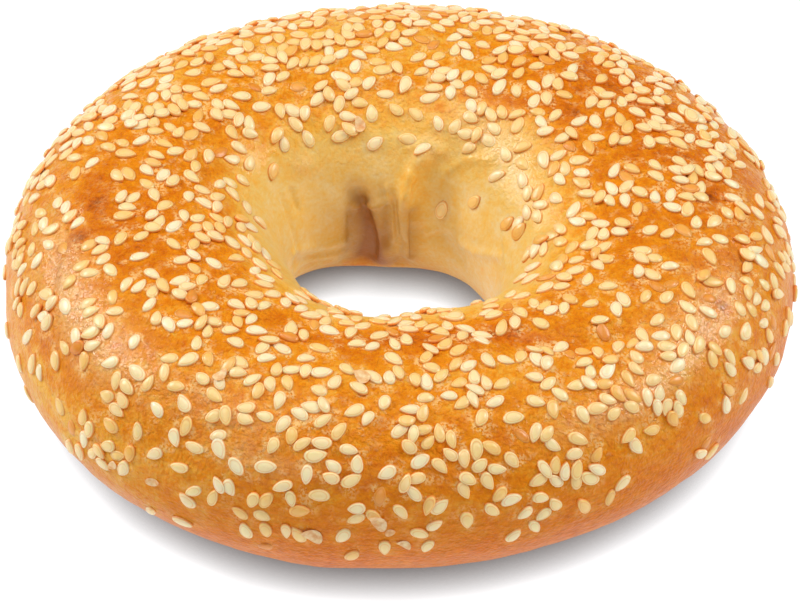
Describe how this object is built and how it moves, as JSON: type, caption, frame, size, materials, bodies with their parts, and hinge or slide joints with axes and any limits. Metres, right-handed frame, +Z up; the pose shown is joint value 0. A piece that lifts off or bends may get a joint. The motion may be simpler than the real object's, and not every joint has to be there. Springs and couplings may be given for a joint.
{
  "type": "sesame bagel",
  "caption": "Whole baked ring-shaped bread roll, uneven and hand rolled, with a hole through the middle and hulled sesame seeds baked into its glossy golden crust.",
  "frame": {"origin": "middle of the bagel's bounding box, on the plane of its flat base", "axes": "+X along the ring's longer way, +Y along its shorter way to the back, +Z up through the hole"},
  "size_m": [0.1183, 0.1062, 0.0343],
  "materials": {
    "crust": "glossy baked bread crust, golden to orange brown on the crown, cream in the hole",
    "sesame": "satin hulled sesame seed, pale ivory to golden",
    "husk": "thin translucent flake of seed husk"
  },
  "bodies": {
    "root": {"bagel": "crust"}
  },
  "joints": []
}
